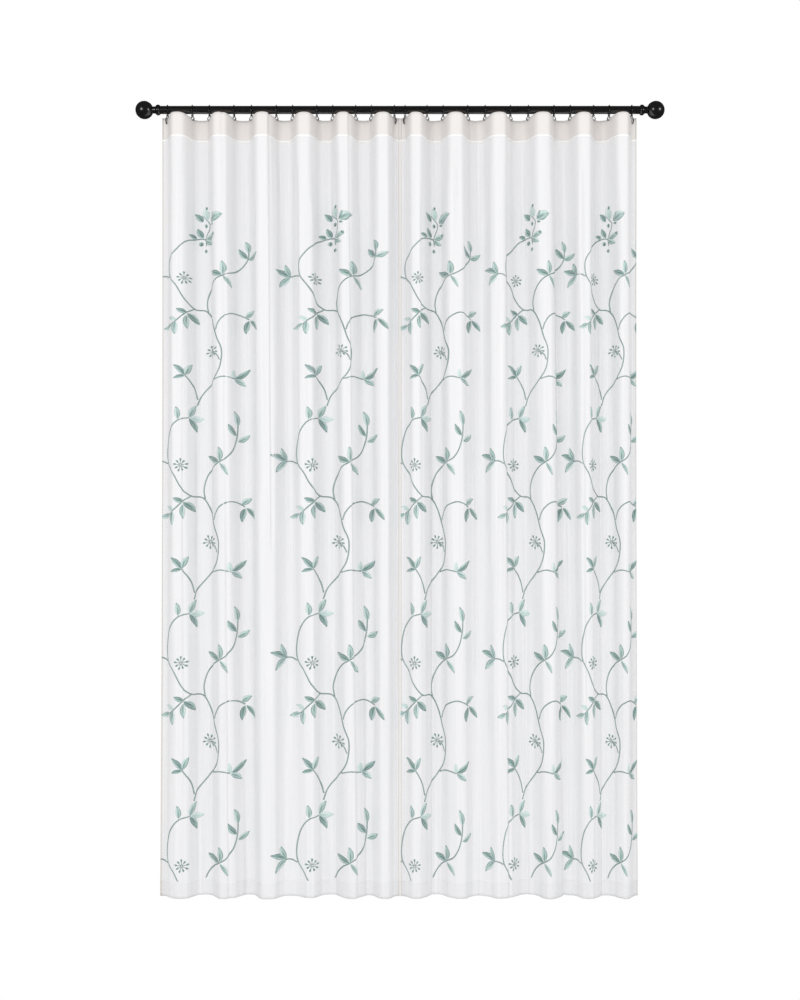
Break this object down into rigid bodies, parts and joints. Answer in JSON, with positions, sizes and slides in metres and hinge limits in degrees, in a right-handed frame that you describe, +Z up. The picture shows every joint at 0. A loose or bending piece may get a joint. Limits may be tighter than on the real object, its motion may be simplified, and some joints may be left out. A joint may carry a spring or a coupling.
{
  "type": "sheer voile curtain pair on a curtain rod with clip rings",
  "caption": "Pair of gathered sheer white voile curtain panels with leafy green embroidery, hung by clip rings from a black rod with ball finials.",
  "frame": {"origin": "on the rod's axis at its mid-length", "axes": "+X along the rod to the viewer's right, +Y from the room towards the wall, +Z up"},
  "size_m": [1.4476, 0.08, 2.1765],
  "materials": {
    "voile": "sheer plain-weave voile, matt, soft white",
    "heading_band": "denser woven band, warm off-white",
    "embroidery": "satin-stitched thread, muted teal green with darker tips",
    "black_metal": "gloss black enamel"
  },
  "bodies": {
    "root": {"rod": "black_metal", "finial_left": "black_metal", "finial_right": "black_metal", "panel_left": "voile", "heading_left": "heading_band", "ring_left_01": "black_metal", "ring_left_02": "black_metal", "ring_left_03": "black_metal", "ring_left_04": "black_metal", "ring_left_05": "black_metal", "ring_left_06": "black_metal", "ring_left_07": "black_metal", "ring_left_08": "black_metal", "ring_left_09": "black_metal", "ring_left_10": "black_metal", "ring_left_11": "black_metal", "ring_left_12": "black_metal", "clip_left_01": "black_metal", "clip_left_02": "black_metal", "clip_left_03": "black_metal", "clip_left_04": "black_metal", "clip_left_05": "black_metal", "clip_left_06": "black_metal", "clip_left_07": "black_metal", "clip_left_08": "black_metal", "clip_left_09": "black_metal", "clip_left_10": "black_metal", "clip_left_11": "black_metal", "clip_left_12": "black_metal", "panel_right": "voile", "heading_right": "heading_band", "ring_right_01": "black_metal", "ring_right_02": "black_metal", "ring_right_03": "black_metal", "ring_right_04": "black_metal", "ring_right_05": "black_metal", "ring_right_06": "black_metal", "ring_right_07": "black_metal", "ring_right_08": "black_metal", "ring_right_09": "black_metal", "ring_right_10": "black_metal", "ring_right_11": "black_metal", "ring_right_12": "black_metal", "clip_right_01": "black_metal", "clip_right_02": "black_metal", "clip_right_03": "black_metal", "clip_right_04": "black_metal", "clip_right_05": "black_metal", "clip_right_06": "black_metal", "clip_right_07": "black_metal", "clip_right_08": "black_metal", "clip_right_09": "black_metal", "clip_right_10": "black_metal", "clip_right_11": "black_metal", "clip_right_12": "black_metal"}
  },
  "joints": []
}
